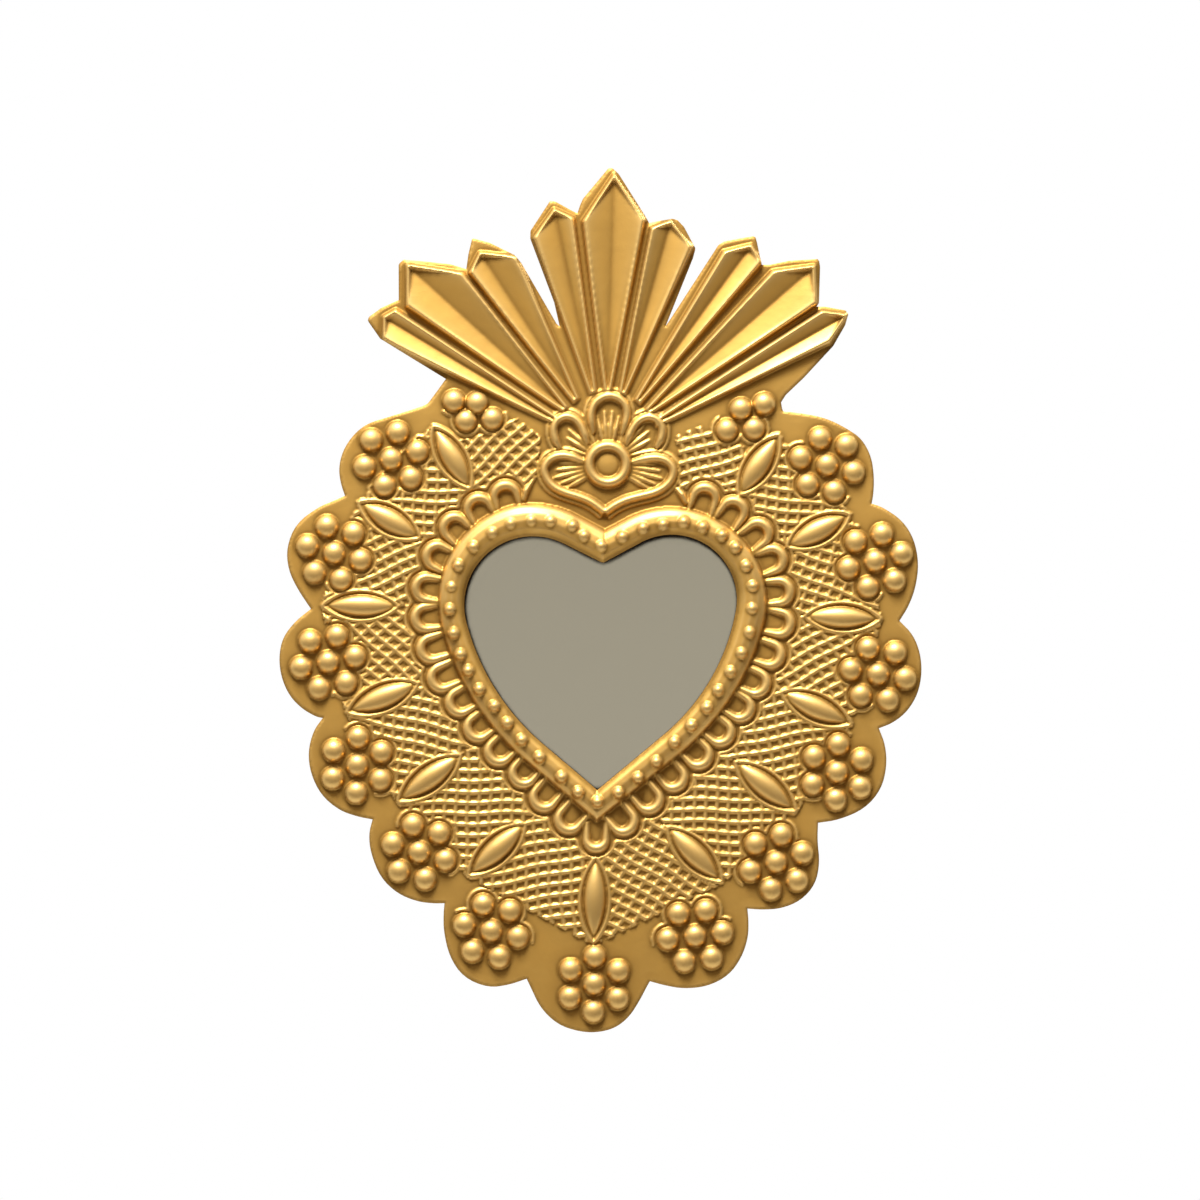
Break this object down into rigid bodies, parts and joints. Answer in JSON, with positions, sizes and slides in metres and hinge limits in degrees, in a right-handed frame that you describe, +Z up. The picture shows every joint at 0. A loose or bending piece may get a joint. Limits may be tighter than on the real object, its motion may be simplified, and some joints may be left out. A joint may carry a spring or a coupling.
{
  "type": "heart-shaped wall mirror",
  "caption": "Heart-shaped wall mirror in one sheet of embossed tin painted gold, with a scalloped edge, a fan of rays on top and a hanging ring behind.",
  "frame": {"origin": "on the rear face of the back plate, where the heart glass has its centre lines", "axes": "+Y into the wall, so the front faces -Y; +Z up, along the mirror's height; +X to the viewer's right"},
  "size_m": [0.2576, 0.0125, 0.3466],
  "materials": {
    "gold_tin": "satin gold paint on embossed tin, thin on the crests and darker in the hollows",
    "silvered_glass": "polished silvered mirror glass",
    "card": null,
    "bare_tin": "bare tinplate, slightly dull",
    "solder": "grey soft solder",
    "steel_wire": "drawn steel wire, tinned"
  },
  "bodies": {
    "frame": {"embossed_front": "gold_tin", "mirror_glass": "silvered_glass", "backing_card": "card", "back_plate": "bare_tin", "tab_solder": "solder", "hanger_strap": "bare_tin", "hanger_solder": "solder", "retaining_tab_1": "bare_tin", "retaining_tab_2": "bare_tin", "retaining_tab_3": "bare_tin", "retaining_tab_4": "bare_tin", "retaining_tab_5": "bare_tin", "retaining_tab_6": "bare_tin", "retaining_tab_7": "bare_tin", "retaining_tab_8": "bare_tin"},
    "hanging_ring": {"hanging_ring": "steel_wire"}
  },
  "joints": [
    {"name": "hanging_ring_swing", "type": "hinge", "parent": "frame", "child": "hanging_ring", "pos_m": [0, -0.0037, 0.132], "axis": [1, 0, 0], "range_deg": [0, 180]}
  ]
}
